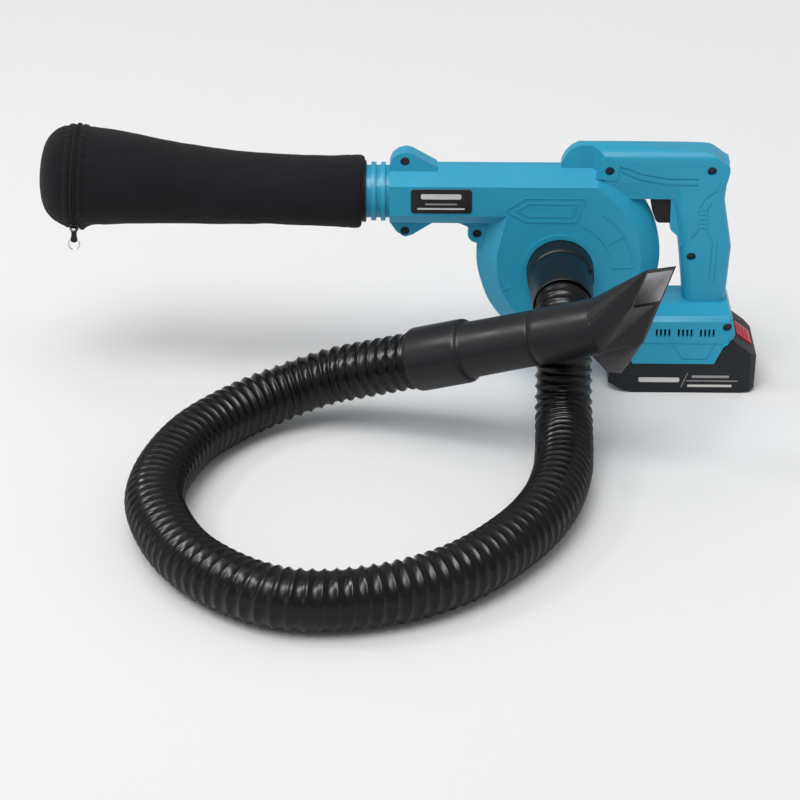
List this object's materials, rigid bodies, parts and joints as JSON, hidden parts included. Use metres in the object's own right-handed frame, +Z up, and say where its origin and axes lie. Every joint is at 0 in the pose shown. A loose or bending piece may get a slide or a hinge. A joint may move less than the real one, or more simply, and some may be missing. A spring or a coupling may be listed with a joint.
{
  "type": "leaf blower",
  "caption": "Cordless garden blower and vacuum in teal plastic, with a ribbed suction hose, slanted hand nozzle, black dust bag and slide-on battery foot.",
  "frame": {"origin": "on the flat underside of the battery pack, below the foot of the handle, in the casing's split plane", "axes": "+X from the outlet towards the handle, +Y from the suction side towards the motor, +Z up"},
  "size_m": [0.6107, 0.5834, 0.2248],
  "materials": {
    "casing_plastic": "fine-textured moulded teal blue plastic",
    "black_plastic": "satin black moulded plastic",
    "nozzle_plastic": "satin dark grey moulded plastic",
    "hose_plastic": "glossy black corrugated plastic",
    "bag_fabric": "matt black knitted polyester",
    "zip_fabric": "woven black zip tape",
    "band_rubber": "black rubber",
    "zip_metal": "black lacquered die casting",
    "bright_metal": "nickel plated wire",
    "steel": "plain steel",
    "dark_steel": "blackened steel",
    "armature_steel": "laminated steel with varnished windings",
    "copper": "plain copper alloy",
    "magnet": "dark ferrite",
    "impeller_plastic": "glass-filled black plastic",
    "switch_plastic": "white acetal",
    "board_green": "solder-masked circuit board",
    "wire_red": "red wire sleeve",
    "battery_plastic": "satin black moulded plastic",
    "cell_blue": "blue shrink sleeve",
    "latch_red": "red moulded plastic",
    "label_film": "glossy black plate with plain grey bars"
  },
  "bodies": {
    "blower": {"suction_side_casing": "casing_plastic", "motor_side_casing": "casing_plastic", "casing_screws": "dark_steel", "label_plate": "label_film", "intake_adapter": "black_plastic", "hose": "hose_plastic", "hose_cuff": "nozzle_plastic", "front_bearing": "steel", "rear_bearing": "steel", "motor_can": "steel", "motor_magnets": "magnet", "motor_end_bell": "black_plastic", "carbon_brushes": "magnet", "motor_screws": "dark_steel", "motor_cover": "casing_plastic", "cover_screws": "dark_steel", "trigger_spring": "steel", "switch_body": "black_plastic", "control_board": "board_green", "power_transistor": "black_plastic", "terminal_block": "black_plastic", "terminal_blades": "copper", "motor_wires": "wire_red"},
    "rotor": {"impeller": "impeller_plastic", "impeller_nut": "steel", "rotor_shaft": "steel", "armature": "armature_steel", "commutator": "copper"},
    "hand_nozzle": {"nozzle": "nozzle_plastic"},
    "bag": {"dust_bag": "bag_fabric", "bag_end_panel": "bag_fabric", "bag_mouth_band": "band_rubber", "zip_tape": "zip_fabric"},
    "slider": {"zip_slider": "zip_metal"},
    "pull_tab": {"zip_pull_tab": "black_plastic"},
    "pull_ring": {"zip_ring": "bright_metal"},
    "finger_trigger": {"trigger": "black_plastic", "switch_plunger": "switch_plastic"},
    "battery": {"battery_lower_case": "battery_plastic", "battery_upper_case": "battery_plastic", "battery_cells": "cell_blue", "cell_straps": "steel", "battery_contacts": "copper", "latch_spring": "steel", "battery_screws": "dark_steel"},
    "latch": {"latch_button": "latch_red"}
  },
  "joints": [
    {"name": "fan_spin", "type": "hinge", "parent": "blower", "child": "rotor", "pos_m": [-0.112, 0, 0.107], "axis": [0, 1, 0], "continuous": true},
    {"name": "trigger_pull", "type": "slide", "parent": "blower", "child": "finger_trigger", "axis": [1, 0, 0], "range_m": [0, 0.006], "stiffness_N_per_m": 400, "springref_m": -0.004, "deforming": ["trigger_spring"]},
    {"name": "nozzle_pull_off", "type": "slide", "parent": "blower", "child": "hand_nozzle", "axis": [0.8629, -0.3678, 0.3466], "range_m": [0, 0.03]},
    {"name": "bag_pull_off", "type": "slide", "parent": "blower", "child": "bag", "axis": [-1, 0, 0], "range_m": [0, 0.03]},
    {"name": "zip_travel", "type": "hinge", "parent": "bag", "child": "slider", "pos_m": [-0.52166, 0, 0.18132], "axis": [-0.9986, 0, 0.0523], "range_deg": [0, 270]},
    {"name": "tab_swing", "type": "hinge", "parent": "slider", "child": "pull_tab", "pos_m": [-0.52364, -0.02638, 0.14369], "axis": [-0.9986, 0, 0.0523], "range_deg": [-35, 55]},
    {"name": "ring_swing", "type": "hinge", "parent": "pull_tab", "child": "pull_ring", "pos_m": [-0.52417, -0.02638, 0.13351], "axis": [-0.9986, 0, 0.0523], "range_deg": [-50, 50]},
    {"name": "battery_slide", "type": "slide", "parent": "blower", "child": "battery", "axis": [1, 0, 0], "range_m": [0, 0.07]},
    {"name": "latch_press", "type": "slide", "parent": "battery", "child": "latch", "axis": [-0.599, 0, -0.8007], "range_m": [0, 0.0025], "stiffness_N_per_m": 600, "springref_m": -0.002, "deforming": ["latch_spring"]}
  ]
}
